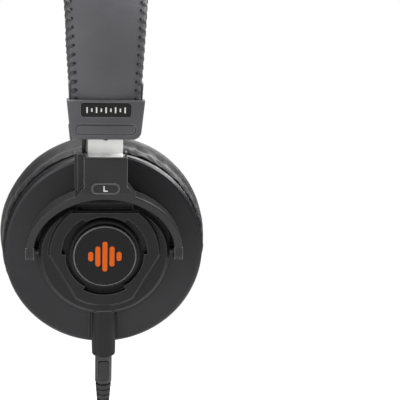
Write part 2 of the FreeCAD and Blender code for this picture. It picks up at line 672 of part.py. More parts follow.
def baffle():
    """Board that carries the driver and closes the cup."""
    board = spun([(SHELL_BACK_U, DRIVER_R + 0.2), (SHELL_BACK_U, 47.6), (BAFFLE_BACK_U, 47.6),
                  (BAFFLE_BACK_U, DRIVER_R + 0.2)])
    for y, w in screw_spots(41.5, 4, 45):
        board = board.cut(rod(1.3, V(BAFFLE_BACK_U - 1, y, w), V(0, y, w)))
    for y, w in screw_spots(33.0, 8, 22.5):
        board = board.cut(rod(1.6, V(BAFFLE_BACK_U - 1, y, w), V(0, y, w)))
    return board


def baffle_screws():
    """Four screws that hold the baffle to the shell's posts."""
    screws = []
    for y, w in screw_spots(41.5, 4, 45):
        shank = rod(1.1, V(BAFFLE_BACK_U, y, w), V(-4.0, y, w))
        head = rod(2.2, V(BAFFLE_BACK_U, y, w), V(BAFFLE_BACK_U - 0.25, y, w))
        screws.append(shank.fuse(head))
    return Part.makeCompound(screws)


def driver_frame():
    """Driver basket: flange, dish and rear seat for the magnet."""
    return spun([(-13.2, DRIVER_R), (BAFFLE_BACK_U, DRIVER_R), (BAFFLE_BACK_U, DRIVER_R - 2.2),
                 (-14.8, DRIVER_R - 2.2), (-11.6, 12.6), (-11.6, 9.0), (-10.4, 9.0), (-10.4, 13.2),
                 (-13.2, DRIVER_R - 1.6)])


def driver_magnet():
    """Magnet in its steel pot."""
    return spun([(-10.4, 0), (-10.4, 12.4), (-4.4, 12.4), (-3.8, 11.8), (-3.8, 0)])


def diaphragm():
    """Thin cone and dust dome."""
    return spun([(-16.0, 22.6), (-15.7, 22.6), (-14.6, 12.0), (-16.0, 6.0), (-16.4, 0), (-16.8, 0),
                 (-16.4, 6.2), (-15.1, 12.0)])


def ear_grille():
    """Cloth disc over the driver."""
    return spun([(BAFFLE_BACK_U - 0.4, 0), (BAFFLE_BACK_U - 0.4, 26.8), (BAFFLE_BACK_U - 1.1, 26.8),
                 (BAFFLE_BACK_U - 1.1, 0)])


def ear_pad():
    """Round leatherette cushion with a skirt over the cup's rear lip."""
    front = BAFFLE_BACK_U - 0.6
    pad = spun([(front, PAD_HOLE_R), (front, 48.9), (SKIRT_U, 48.9), (SKIRT_U, PAD_R), (PAD_BACK_U, PAD_R),
                (PAD_BACK_U, PAD_HOLE_R)])
    rims = edges_at(pad, PAD_BACK_U - 0.01, PAD_BACK_U + 0.01)
    outer = [edge for edge in rims if edge.BoundBox.YLength > 90]
    inner = [edge for edge in rims if edge.BoundBox.YLength < 90]
    return pad.makeFillet(9.5, outer).makeFillet(7.5, inner)


# ---------------------------------------------------------------- socket, plug and cord

def socket_bore(grow):
    """Round room for the plug's nose and the contact pins."""
    return rod(NOSE_R + 0.35 + grow, V(SOCKET_U, 0, BOSS_END_W - 1), V(SOCKET_U, 0, BOSS_END_W + 11.0 + grow))


def socket_boss():
    """Rounded block at the cup's foot that takes the plug."""
    boss = block((-4.4, HUB_STEP_U), (-BOSS_HALF, BOSS_HALF), (BOSS_END_W, BOSS_TOP_W))
    front = [edge for edge in boss.Edges if edge.BoundBox.ZLength > 5 and edge.BoundBox.XMin > SOCKET_U]
    boss = boss.makeFillet(4.2, front)
    end = [edge for edge in boss.Edges if edge.BoundBox.ZMax < BOSS_END_W + 0.01]
    boss = boss.makeFillet(1.2, end)
    half, lift = BOSS_SHOULDER
    step = under_dish(lift).common(block((-1, 10), (-half, half), (-46.4 - CUP_DROP, -30.0)))
    boss = boss.fuse(step).cut(under_dish(0))
    return boss.cut(hub_base(-0.1)).cut(socket_bore(0))


def socket_pins():
    """Three contact pins on a small carrier inside the boss."""
    top = BOSS_END_W + 11.0
    carrier = rod(NOSE_R + 0.35, V(SOCKET_U, 0, top - 1.6), V(SOCKET_U, 0, top))
    for y, w in screw_spots(1.7, 3, 90):
        carrier = carrier.fuse(rod(0.4, V(SOCKET_U + w, y, top - 6.5), V(SOCKET_U + w, y, top - 1)))
    return carrier


def plug_barrel():
    """Metal plug: nose in the socket, barrel, button window."""
    centre = V(SOCKET_U, 0, 0)
    nose_top = BOSS_END_W + 8.0
    barrel = spun([(nose_top, 0), (nose_top, NOSE_R), (BOSS_END_W - 0.4, NOSE_R),
                   (BOSS_END_W - 0.4, PLUG_R - 0.3), (BOSS_END_W - 0.8, PLUG_R), (PLUG_END_W + 0.8, PLUG_R),
                   (PLUG_END_W, PLUG_R - 0.8), (PLUG_END_W, 0)], centre, V(0, 0, 1), V(1, 0, 0))
    window = button_block(0.3, SOCKET_U + PLUG_R - 2.1, SOCKET_U + PLUG_R + 1)
    for y, w in screw_spots(1.7, 3, 90):
        barrel = barrel.cut(rod(0.75, V(SOCKET_U + w, y, nose_top - 5.0), V(SOCKET_U + w, y, nose_top + 1)))
    return barrel.cut(window)


def button_block(grow, back, front):
    """Upright rounded bar on the plug's outer side."""
    length, width = BUTTON[0] + 2 * grow, BUTTON[1] + 2 * grow
    middle = (BOSS_END_W + PLUG_END_W) / 2 - 0.2
    bar = block((back, front), (-width / 2, width / 2), (middle - length / 2, middle + length / 2))
    corners = [edge for edge in bar.Edges if edge.BoundBox.XLength > 0.5]
    return bar.makeFillet(1.6, corners)


def plug_button():
    """Release button: pressed in, it frees the latch."""
    button = button_block(0, SOCKET_U + PLUG_R - 1.0, SOCKET_U + PLUG_R - 1.0 + BUTTON[2] + 0.4)
    top = button.BoundBox.XMax
    return button.makeFillet(0.35, edges_at(button, top - 0.01, top + 0.01))


def strain_relief():
    """Tapered boot with rings."""
    rings = 7
    top, end = PLUG_END_W - 0.5, RELIEF_END_W
    pitch = (top - end - 2.0) / rings
    points = [(top + 0.5, 0), (top + 0.5, 3.2), (top, 3.2)]
    for index in range(rings):
        start = top - index * pitch
        radius = 3.9 - 1.35 * index / (rings - 1)
        points += [(start, radius), (start - 0.62 * pitch, radius - 0.05),
                   (start - 0.62 * pitch, radius - 0.6), (start - pitch, radius - 0.65)]
    points += [(end, 2.3), (end, 0)]
    return spun(points, V(SOCKET_U, 0, 0), V(0, 0, 1), V(1, 0, 0))


def tube(points, radius):
    """Round tube along straight runs joined by tangent arcs; prints each arc's radius."""
    edges = []
    at = points[0]
    for before, corner, after in zip(points, points[1:], points[2:]):
        into, out = (corner - before), (after - corner)
        short = min(into.Length, out.Length)
        half_turn = into.getAngle(out) / 2
        reach = 0.45 * short
        bend = reach / math.tan(half_turn)
        first = corner - into.normalize() * reach
        last = corner + out.normalize() * reach
        middle_way = (out - into).normalize()
        middle = corner + middle_way * (bend / math.cos(half_turn) - bend)
        edges.append(Part.makeLine(at, first))
        edges.append(Part.Arc(first, middle, last).toShape())
        at = last
        print(f"cord arc radius {bend:.1f} mm")
    edges.append(Part.makeLine(at, points[-1]))
    path = Part.Wire(edges)
    circle = Part.Wire(Part.Circle(points[0], points[1] - points[0], radius).toShape())
    body = path.makePipeShell([circle], True, True)
    expected = math.pi * radius ** 2 * path.Length
    print(f"cord tube length {path.Length:.1f} mm, volume ratio {body.Volume / expected:.4f}")
    return body


EXIT = cup_to_world(SOCKET_U, RELIEF_END_W)
DROP = [EXIT, EXIT + V(-4.0, 0, -13.5), EXIT + V(-6.0, 0, -28.0), EXIT + V(-6.4, 0.5, -43.0)]
COIL_CENTRE = DROP[-1] + V(-8.0, 9.5, -COIL_OUT_R)
TAIL = [COIL_CENTRE + V(*offset) for offset in ((11.8, -7.0, 24.0), (15.0, 0.5, 26.5), (17.5, 9.0, 22.0),
                                                (17.5, 12.5, 13.0), (17.5, 12.5, 4.0))]


def cord():
    """The stretch from the strain relief to the tied coil."""
    return tube(DROP, CORD_R)


def cord_tail():
    """The stretch from the coil to the far plug."""
    return tube(TAIL, CORD_R)


def cord_coil():
    """Outer shape of the tied coil."""
    return spun([(-COIL_HALF, COIL_IN_R), (-COIL_HALF, COIL_OUT_R), (COIL_HALF, COIL_OUT_R),
                 (COIL_HALF, COIL_IN_R)], COIL_CENTRE)


def coil_tie():
    """Soft band round the coil's turns, at the back."""
    outer = block((-COIL_HALF - 1.6, COIL_HALF + 1.6), (COIL_IN_R - 2.2, COIL_OUT_R + 1.6), (-5.0, 5.0))
    inner = block((-COIL_HALF - 0.4, COIL_HALF + 0.4), (COIL_IN_R - 1.0, COIL_OUT_R + 0.4), (-6.0, 6.0))
    tie = outer.cut(inner)
    tie.translate(COIL_CENTRE)
    return tie


def jack_barrel():
    """Handle and boot of the stereo jack."""
    end = JACK_BARREL_END
    return spun([(0, 0), (0, 2.5), (-10, 3.3), (-10, 4.2), (-10.6, JACK_R), (end + 0.6, JACK_R), (end, 4.0),
                 (end, 0)], TAIL[-1], V(0, 0, 1), V(1, 0, 0))


def jack_pin():
    """3.5 mm stereo pin: shoulder, straight sleeve, waist and rounded tip."""
    start = JACK_BARREL_END
    length = JACK_PIN_LENGTH
    return spun([(start, 0), (start, 2.6), (start - 0.6, 2.6), (start - 0.6, JACK_PIN_R),
                 (start - 11.0, JACK_PIN_R), (start - 11.6, 1.1), (start - 12.2, 1.6), (start - length, 0.5),
                 (start - length, 0)], TAIL[-1], V(0, 0, 1), V(1, 0, 0))


def write_side(tag, side):
    """Every sub-part that both sides have."""
    pieces = {
        "end_cap_front": cap_front(), "end_cap_back": cap_back(), "cap_screws": cap_screws(),
        "detent_spring": detent_spring(), "label_plate": label_plate(),
        "slider_strip": slider_strip(), "swivel_rivet": swivel_rivet(), "slider_lead": slider_lead(),
        "yoke": yoke(), "pivot_pins": pivot_screws(), "hub_cover": hub_cover(), "cup_shell": cup_shell(side),
        "trim_ring": trim_ring(), "centre_disc": centre_disc(),
        "badge": badge_bars(0, DISC_FRONT_U - 0.4, DISC_FRONT_U + 0.1),
    }
    for build in (baffle, baffle_screws, driver_frame, driver_magnet, diaphragm, ear_grille, ear_pad):
        pieces[build.__name__] = lowered(build())
    for name, shape in pieces.items():
        save(f"{name}_{tag}", placed(shape, side))


def main():
    os.makedirs("parts", exist_ok=True)
    headband()
    write_side("left", 1)
    write_side("right", -1)
    save("ear_letter_left", placed(letter(1), 1))
    save("ear_letter_right", placed(letter(-1).mirror(V(0, 0, 0), V(0, 1, 0)), -1))
    left_only = {"socket_boss": socket_boss, "socket_pins": socket_pins, "plug_barrel": plug_barrel,
                 "plug_button": plug_button, "strain_relief": strain_relief}
    for name, build in left_only.items():
        save(name, placed(build(), 1))
    hanging = {"cord": cord, "cord_tail": cord_tail, "cord_coil": cord_coil, "coil_tie": coil_tie,
               "jack_barrel": jack_barrel, "jack_pin": jack_pin}
    for name, build in hanging.items():
        save(name, build())
    print(f"cup centre {CUP_X:.2f} {CUP_Z:.2f}, shoulder radius {SHOULDER_R:.2f}")


main()
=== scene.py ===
"""Looks of the closed-back monitoring headphones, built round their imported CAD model. Metres, +Z up."""
import json
import math

import bmesh
import bpy
import numpy as np
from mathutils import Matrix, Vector, noise


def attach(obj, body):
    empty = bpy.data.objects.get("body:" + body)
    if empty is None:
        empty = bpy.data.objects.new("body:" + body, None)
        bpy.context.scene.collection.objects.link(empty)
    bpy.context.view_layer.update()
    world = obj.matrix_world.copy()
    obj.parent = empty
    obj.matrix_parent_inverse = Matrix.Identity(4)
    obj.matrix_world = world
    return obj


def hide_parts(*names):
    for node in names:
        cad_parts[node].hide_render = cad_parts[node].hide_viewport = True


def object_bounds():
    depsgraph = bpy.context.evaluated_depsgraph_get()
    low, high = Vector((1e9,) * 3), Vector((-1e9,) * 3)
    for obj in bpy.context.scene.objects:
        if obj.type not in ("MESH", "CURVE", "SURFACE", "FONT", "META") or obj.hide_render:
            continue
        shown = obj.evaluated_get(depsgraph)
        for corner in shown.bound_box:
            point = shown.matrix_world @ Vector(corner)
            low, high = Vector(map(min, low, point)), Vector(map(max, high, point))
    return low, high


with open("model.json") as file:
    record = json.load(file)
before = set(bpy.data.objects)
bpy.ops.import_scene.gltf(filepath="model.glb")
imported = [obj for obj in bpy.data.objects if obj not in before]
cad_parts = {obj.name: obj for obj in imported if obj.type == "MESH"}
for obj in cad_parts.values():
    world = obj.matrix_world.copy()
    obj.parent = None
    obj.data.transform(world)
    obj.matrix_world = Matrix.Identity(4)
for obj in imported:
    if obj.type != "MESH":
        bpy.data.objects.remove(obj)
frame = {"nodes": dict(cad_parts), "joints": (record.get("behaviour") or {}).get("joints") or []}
cad_low, cad_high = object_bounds()
NODES = frame["nodes"]
JOINTS = {joint["name"]: joint for joint in frame["joints"]}
SIDES = {"left": 1, "right": -1}
MM = 0.001

# The cup frame: u points out of the left cup, w up along its slider.
AXIS_W = -Vector(JOINTS["extend_left"]["axis"])
AXIS_U = Vector((AXIS_W.z, 0, -AXIS_W.x))
PIVOT_U = 7.0 * MM
CUP_CENTRE = Vector(JOINTS["tilt_left"]["pos_m"]) - AXIS_U * PIVOT_U
TILT = math.atan2(AXIS_W.x, AXIS_W.z)

# Headband line, as in the part's source
CROWN_R = 110.0 * MM
CROWN_ANGLE = math.radians(32)
LINE_U = 9.0 * MM
STRAIGHT_TOP_W = 84.0 * MM
BAND_OUT = 3.9 * MM
BAND_IN = 6.1 * MM
BAND_END_W = 62.0 * MM
CUP_DROP = 2.5 * MM          # the cushion sits this far below the hub's centre


def local(u, y, w, side=1):
    """World point of a point in a side's cup frame."""
    point = CUP_CENTRE + AXIS_U * u + AXIS_W * w
    return Vector((side * point.x, y, point.z))


# ---------------------------------------------------------------- camera

CAMERA_DISTANCE = 0.55
CAMERA_AZIMUTH = 83.5        # degrees; 0 is the front and 90 the left side
CUP_RIGHT_OF_AXIS = -0.0475
CUP_BELOW_AXIS = 0.0226
CAMERA_SENSOR_MM = 36
CAMERA_LENS_MM = 100


def make_camera():
    """Level camera nearly square on to the left cup, which sits low and left in the frame."""
    azimuth = math.radians(CAMERA_AZIMUTH)
    back = Vector((math.sin(azimuth), -math.cos(azimuth), 0))
    right = Vector((math.cos(azimuth), math.sin(azimuth), 0))
    data = bpy.data.cameras.new("camera")
    data.sensor_width = CAMERA_SENSOR_MM
    data.lens = CAMERA_LENS_MM
    camera = bpy.data.objects.new("camera", data)
    camera.location = CUP_CENTRE + back * CAMERA_DISTANCE - right * CUP_RIGHT_OF_AXIS
    camera.location.z += CUP_BELOW_AXIS
    camera.rotation_mode = "QUATERNION"
    camera.rotation_quaternion = (-back).to_track_quat("-Z", "Y")
    bpy.context.scene.collection.objects.link(camera)
    bpy.context.scene.camera = camera


make_camera()

# ---------------------------------------------------------------- material tools


class Nodes:
    """Short way to add and join shader nodes of one material."""

    def __init__(self, name):
        self.material = bpy.data.materials.new(name)
        self.material.use_nodes = True
        self.tree = self.material.node_tree
        self.shader = self.tree.nodes["Principled BSDF"]

    def add(self, kind, inputs=(), **settings):
        """A node of that kind, with its settings and its input values or links."""
        node = self.tree.nodes.new(kind)
        for key, value in settings.items():
            setattr(node, key, value)
        for key, value in dict(inputs).items():
            self.put(node.inputs[key], value)
        return node

    def put(self, socket, value):
        """Link an output to a socket, or set its value."""
        if isinstance(value, bpy.types.NodeSocket):
            self.tree.links.new(value, socket)
        else:
            socket.default_value = value

    def coords(self):
        """Object-space position, which is the row frame for every piece."""
        return self.add("ShaderNodeTexCoord").outputs["Object"]

    def noise(self, scale, detail=3.0, roughness=0.55, vector=None):
        """Fractal noise value."""
        vector = vector or self.coords()
        inputs = {"Vector": vector, "Scale": scale, "Detail": detail, "Roughness": roughness}
        return self.add("ShaderNodeTexNoise", inputs).outputs["Fac"]

    def ramp(self, value, low, high):
        """Map a 0 to 1 value between two numbers or two colours."""
        if isinstance(low, (int, float)):
            node = self.add("ShaderNodeMapRange", {"Value": value, "To Min": low, "To Max": high})
            return node.outputs["Result"]
        node = self.add("ShaderNodeMix", {"Factor": value}, data_type="RGBA")
        node.inputs[6].default_value = (*low, 1)
        node.inputs[7].default_value = (*high, 1)
        return node.outputs[2]

    def sharpen(self, value, low, high):
        """Stretch part of a value's range to the whole of 0 to 1."""
        inputs = {"Value": value, "From Min": low, "From Max": high}
        return self.add("ShaderNodeMapRange", inputs).outputs["Result"]

    def math(self, operation, first, second):
        """One arithmetic step."""
        node = self.add("ShaderNodeMath", operation=operation)
        self.put(node.inputs[0], first)
        self.put(node.inputs[1], second)
        return node.outputs[0]

    def mix(self, factor, first, second):
        """Blend two colours."""
        node = self.add("ShaderNodeMix", data_type="RGBA")
        self.put(node.inputs[0], factor)
        for index, colour in ((6, first), (7, second)):
            linked = isinstance(colour, bpy.types.NodeSocket)
            self.put(node.inputs[index], colour if linked else (*colour, 1))
        return node.outputs[2]

    def bump(self, height, distance, strength=1.0, normal=None):
        """Bump from a height, with its depth in metres."""
        inputs = {"Height": height, "Distance": distance, "Strength": strength}
        if normal is not None:
            inputs["Normal"] = normal
        return self.add("ShaderNodeBump", inputs).outputs["Normal"]

    def edges(self, radius, low=0.01, high=0.12):
        """1 along sharp edges: the mask of a painted edge highlight."""
        bevel = self.add("ShaderNodeBevel", {"Radius": radius}, samples=4).outputs["Normal"]
        true = self.add("ShaderNodeNewGeometry").outputs["Normal"]
        dot = self.add("ShaderNodeVectorMath", operation="DOT_PRODUCT")
        self.put(dot.inputs[0], bevel)
        self.put(dot.inputs[1], true)
        edge_highlight_mask = self.math("SUBTRACT", 1.0, dot.outputs["Value"])
        return self.sharpen(edge_highlight_mask, low, high)

    def finish(self, **inputs):
        """Set the shader's sockets and return the material."""
        for key, value in inputs.items():
            socket = self.shader.inputs[key.replace("_", " ").title().replace("Ior", "IOR")]
            if isinstance(value, tuple) and len(value) == 3:
                value = (*value, 1)
            self.put(socket, value)
        return self.material


def moulded_plastic(name, dark, light, rough=(0.36, 0.5), edge=(0.10, 0.10, 0.105), shine=0.4):
    """Satin moulded plastic: fine spark grain, slow tone drift, faint rubbed patches and a painted
    highlight of lighter colour along its edges.
    """
    n = Nodes(name)
    specks = n.noise(2600, 2, 0.6)
    face = n.ramp(n.sharpen(n.noise(28, 2), 0.35, 0.65), dark, light)
    # Painted highlight: the lighter edge colour laid along sharp edges.
    colour = n.mix(n.edges(0.0005), face, edge)
    rubbed = n.sharpen(n.noise(60, 5, 0.7), 0.5, 0.75)
    rough_value = n.math("ADD", n.ramp(specks, *rough), n.math("MULTIPLY", rubbed, -0.05))
    waves = n.bump(n.noise(90, 2), 0.00004, 0.6, n.bump(specks, 0.00002))
    return n.finish(base_color=colour, roughness=rough_value, normal=waves, specular_ior_level=shine)


def leatherette(name, dark, light, rough=(0.36, 0.5), crease=140, crease_depth=0.00025, shine=0.35):
    """Smooth artificial leather: fine pebble grain, soft creases and a gentle sheen."""
    n = Nodes(name)
    where = n.coords()
    pebbles = n.add("ShaderNodeTexVoronoi", {"Vector": where, "Scale": 900}, feature="SMOOTH_F1")
    fold = n.noise(crease, 4, 0.55, where)
    drift = n.noise(24, 3, 0.5, where)
    colour = n.ramp(n.sharpen(drift, 0.3, 0.7), dark, light)
    rough_value = n.ramp(n.noise(220, 4, 0.6, where), *rough)
    small = n.bump(pebbles.outputs["Distance"], 0.00005, 0.6)
    large = n.bump(fold, crease_depth, 0.5, small)
    return n.finish(base_color=colour, roughness=rough_value, normal=large, specular_ior_level=shine,
                    sheen_weight=0.12, sheen_roughness=0.4)


BRUSH_ACROSS, BRUSH_ALONG = 2600, 40     # noise scales across and along the brushing


def brushed_metal(name, dark, light, direction, rough=(0.24, 0.4), metal=1.0):
    """Steel with fine brushing along one direction of the row frame, and a few scuffs."""
    n = Nodes(name)
    scale = [BRUSH_ACROSS] * 3
    scale[direction] = BRUSH_ALONG
    stretched = n.add("ShaderNodeMapping", {"Vector": n.coords(), "Scale": scale}).outputs["Vector"]
    lines = n.noise(1.0, 4, 0.6, stretched)
    scuffs = n.sharpen(n.noise(300, 5, 0.7), 0.6, 0.8)
    colour = n.ramp(lines, dark, light)
    rough_value = n.math("ADD", n.ramp(lines, *rough), n.math("MULTIPLY", scuffs, 0.12))
    return n.finish(base_color=colour, roughness=rough_value, metallic=metal, normal=n.bump(lines, 0.00002))


def rubber(name, tone=0.014):
    """Soft black rubber with a faint dusty bloom."""
    n = Nodes(name)
    bloom = n.sharpen(n.noise(70, 5, 0.65), 0.45, 0.8)
    colour = n.mix(bloom, (tone, tone, tone), (tone * 2.1, tone * 2.1, tone * 2.15))
    grain = n.noise(1800, 3, 0.6)
    return n.finish(base_color=colour, roughness=n.ramp(grain, 0.5, 0.68), normal=n.bump(grain, 0.00003))


def woven(name, dark, light, pitch, depth):
    """Fine cloth: two crossed waves, turned with the left cup, under a little fuzz."""
    n = Nodes(name)
    where = n.coords()
    turned = n.add("ShaderNodeMapping", {"Vector": where, "Rotation": (0, TILT, 0)}).outputs["Vector"]
    parts = n.add("ShaderNodeSeparateXYZ", {"Vector": turned}).outputs
    rate = 2 * math.pi / pitch
    warp = n.math("SINE", n.math("MULTIPLY", parts["Y"], rate), 0.0)
    weft = n.math("SINE", n.math("MULTIPLY", parts["Z"], rate), 0.0)
    cloth = n.math("MULTIPLY", warp, weft)
    height = n.math("ADD", n.math("MULTIPLY", cloth, 0.5), 0.5)
    colour = n.ramp(height, dark, light)
    fuzz = n.noise(3000, 3, 0.7, where)
    normal = n.bump(fuzz, 0.00004, 0.6, n.bump(height, depth))
    return n.finish(base_color=colour, roughness=0.9, normal=normal, sheen_weight=0.25, sheen_roughness=0.5)


def gloss(name, tone, colour=None, rough=0.12, shine=0.4):
    """Polished plastic with hairline scratches in its gloss."""
    n = Nodes(name)
    scratch = n.sharpen(n.noise(500, 6, 0.75), 0.58, 0.72)
    drift = n.noise(40, 2)
    base = colour or (tone, tone, tone * 1.06)
    lighter = tuple(min(1.0, channel * 1.12 + 0.001) for channel in base)
    rough_value = n.ramp(scratch, rough, rough + 0.16)
    return n.finish(base_color=n.ramp(drift, base, lighter), roughness=rough_value,
                    normal=n.bump(n.noise(900, 2), 0.000006), specular_ior_level=shine)


# The edge colours of the moulded plastics below are painted highlights along their sharp edges.
MAT = {
    "shell": moulded_plastic("mat_shell", (0.009, 0.009, 0.0105), (0.013, 0.013, 0.0150),
                             rough=(0.34, 0.46), shine=0.3),
    "hub": moulded_plastic("mat_hub", (0.007, 0.007, 0.0075), (0.010, 0.010, 0.011), rough=(0.40, 0.54),
                           shine=0.25),
    "yoke": moulded_plastic("mat_yoke", (0.015, 0.015, 0.0155), (0.021, 0.021, 0.0215), rough=(0.38, 0.52),
                            edge=(0.20, 0.20, 0.205), shine=0.3),
    "cap": moulded_plastic("mat_cap", (0.064, 0.064, 0.069), (0.086, 0.086, 0.092), rough=(0.42, 0.56),
                           edge=(0.22, 0.22, 0.23)),
    "trim": gloss("mat_trim", 0.006, rough=0.36, shine=0.2),
    "disc": gloss("mat_disc", 0.004, rough=0.14, shine=0.18),
    # Painted highlight: the disc rim's grey stands for light caught by the disc's chamfer.
    "disc_rim_highlight": gloss("mat_disc_rim_highlight", 0.10, rough=0.25, shine=0.5),
    "label": gloss("mat_label", 0.006, rough=0.3, shine=0.25),
    "badge": gloss("mat_badge", 0, (0.60, 0.095, 0.002), rough=0.4, shine=0.2),
    "white": gloss("mat_white", 0, (0.62, 0.62, 0.60), rough=0.45),
    "leather": leatherette("mat_band_leather", (0.080, 0.080, 0.088), (0.108, 0.108, 0.117),
                           rough=(0.40, 0.52)),
    "lace": leatherette("mat_lace", (0.040, 0.040, 0.043), (0.066, 0.066, 0.070), rough=(0.40, 0.52),
                        crease=600, crease_depth=0.00005),
    # Painted shade: near-black ovals laid over the strap where each lace's hole is.
    "hole": rubber("mat_hole_painted_shade", 0.002),
    "pad": leatherette("mat_pad_leather", (0.009, 0.009, 0.010), (0.016, 0.016, 0.017), rough=(0.46, 0.6),
                       crease=110, crease_depth=0.00012, shine=0.28),
    # Painted reflection: the steel strips and springs are near-white and barely metallic, standing for
    # their mirror of the white surroundings.
    "slider": brushed_metal("mat_slider_painted_reflection", (0.93, 0.93, 0.92), (0.99, 0.99, 0.98), 1, rough=(0.4, 0.5),
                            metal=0.15),
    "rivet": brushed_metal("mat_rivet", (0.86, 0.85, 0.84), (0.95, 0.94, 0.93), 0, rough=(0.3, 0.4),
                           metal=0.4),
    "screw": brushed_metal("mat_screw", (0.03, 0.03, 0.032), (0.06, 0.06, 0.064), 2, rough=(0.34, 0.46)),
    "gold": brushed_metal("mat_gold", (0.70, 0.48, 0.17), (0.92, 0.70, 0.32), 2, rough=(0.16, 0.26)),
    "magnet": brushed_metal("mat_magnet", (0.36, 0.36, 0.37), (0.52, 0.52, 0.53), 1, rough=(0.3, 0.5)),
    "plug": moulded_plastic("mat_plug", (0.012, 0.012, 0.013), (0.018, 0.018, 0.020), rough=(0.3, 0.4),
                            shine=0.5),
    "rubber": rubber("mat_rubber"),
    "relief": rubber("mat_relief", 0.012),
    "cord": rubber("mat_cord", 0.010),
    "cloth": woven("mat_cloth", (0.006, 0.006, 0.006), (0.028, 0.028, 0.029), 0.0011, 0.00012),
    "tie": woven("mat_tie", (0.010, 0.010, 0.011), (0.035, 0.035, 0.036), 0.0016, 0.0002),
    "foam": woven("mat_foam", (0.02, 0.02, 0.02), (0.05, 0.05, 0.05), 0.0021, 0.0003),
    "film": gloss("mat_film", 0, (0.35, 0.36, 0.38), rough=0.2),
}


# ---------------------------------------------------------------- mesh tools

def new_piece(name, bm, material, body, smooth=True):
    """Turn a bmesh into a piece that rides on a body."""
    bmesh.ops.recalc_face_normals(bm, faces=bm.faces)
    mesh = bpy.data.meshes.new(name)
    bm.to_mesh(mesh)
    bm.free()
    piece = bpy.data.objects.new(name, mesh)
    bpy.context.scene.collection.objects.link(piece)
    mesh.materials.append(MAT[material])
    if smooth:
        mesh.polygons.foreach_set("use_smooth", [True] * len(mesh.polygons))
    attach(piece, body)
    return piece


def grid_surface(bm, rows, close_rows=False, close_columns=False):
    """Faces between rows of points; each row is a list of vertices' places."""
    verts = [[bm.verts.new(point) for point in row] for row in rows]
    row_count, column_count = len(verts), len(verts[0])
    for i in range(row_count if close_rows else row_count - 1):
        for j in range(column_count if close_columns else column_count - 1):
            a, b = verts[i], verts[(i + 1) % row_count]
            k = (j + 1) % column_count
            bm.faces.new((a[j], b[j], b[k], a[k]))
    return verts


def capped_tube(bm, rows):
    """Closed skin round rows of points, with one face over each end."""
    verts = grid_surface(bm, rows, close_columns=True)
    bm.faces.new(verts[0][::-1])
    bm.faces.new(verts[-1])


def tube_along(bm, points, radius, sides):
    """Round tube through a list of points, with capped ends."""
    rows = []
    normal = None
    for index, point in enumerate(points):
        before = points[max(index - 1, 0)]
        after = points[min(index + 1, len(points) - 1)]
        tangent = (after - before).normalized()
        if normal is None:
            normal = tangent.orthogonal().normalized()
        normal = (normal - tangent * normal.dot(tangent)).normalized()
        across = tangent.cross(normal)
        turns = [2 * math.pi * k / sides for k in range(sides)]
        rows.append([point + (normal * math.cos(a) + across * math.sin(a)) * radius for a in turns])
    capped_tube(bm, rows)


SOFT_EDGE_ANGLE = 32         # degrees; flatter edges stay as they are


def soften(name, width):
    """Small rounded edges on a CAD node, which keeps its own mesh."""
    bevel = NODES[name].modifiers.new("edge", "BEVEL")
    bevel.width = width
    bevel.segments = 2
    bevel.limit_method = "ANGLE"
    bevel.angle_limit = math.radians(SOFT_EDGE_ANGLE)
    bevel.use_clamp_overlap = True
    bevel.harden_normals = False


def paint(name, material):
    """Give a CAD node its one material."""
    node = NODES[name]
    node.data.materials.clear()
    node.data.materials.append(MAT[material])


# ---------------------------------------------------------------- cord

CORD_DIAMETER = 4.0 * MM
COIL_TURNS_PER_LAYER = 4
COIL_LAYER_RADII = (34.0 * MM, 30.0 * MM, 26.0 * MM, 22.0 * MM)
COIL_AXIAL = 8.0 * MM
POINTS_PER_TURN = 16
COIL_START_TURN = 0.19       # where the cord joins the ring, as a share of a turn past the top
COIL_END_TURN = 0.12
LAYER_CHANGE = 0.85          # share of a layer after which the cord moves in to the next
CORD_EXIT = local(5.0 * MM, 0, -94.0 * MM)
# Places in millimetres: from the exit for the drop and the centre, from the centre for the rest
DROP = ((0, 0, 0), (-4.0, 0, -13.5), (-6.0, 0, -28.0))
COIL_CENTRE = (-14.4, 10.0, -79.0)
LEAD_IN = ((8.0, -9.6, 45.0), (8.0, -6.4, 37.6), (8.0, 1.5, 34.6))
TAIL = ((9.5, -9.5, 21.5), (12.5, -2.0, 26.0), (16.0, 6.5, 24.5), (17.5, 12.0, 16.5), (17.5, 12.5, 9.5),
        (17.5, 12.5, 4.0))


def cord_points():
    """Exit, drop, coil turns worked out by a loop, and the tail to the jack."""
    centre = CORD_EXIT + Vector(COIL_CENTRE) * MM
    points = [CORD_EXIT + Vector(step) * MM for step in DROP]
    points += [centre + Vector(step) * MM for step in LEAD_IN]
    layers = len(COIL_LAYER_RADII)
    total = COIL_TURNS_PER_LAYER * layers
    steps = round((total - COIL_START_TURN - COIL_END_TURN) * POINTS_PER_TURN)
    for step in range(steps + 1):
        turn = COIL_START_TURN + step / POINTS_PER_TURN
        layer = min(int(turn / COIL_TURNS_PER_LAYER), layers - 1)
        share = turn / COIL_TURNS_PER_LAYER - layer
        radius = COIL_LAYER_RADII[layer]
        if layer < layers - 1 and share > LAYER_CHANGE:
            ease = (share - LAYER_CHANGE) / (1 - LAYER_CHANGE)
            radius += (COIL_LAYER_RADII[layer + 1] - radius) * ease
        swing = 1 - 2 * share
        axial = COIL_AXIAL * (swing if layer % 2 == 0 else -swing)
        angle = math.pi / 2 - 2 * math.pi * turn
        points.append(centre + Vector((axial, radius * math.cos(angle), radius * math.sin(angle))))
    return points + [centre + Vector(step) * MM for step in TAIL]


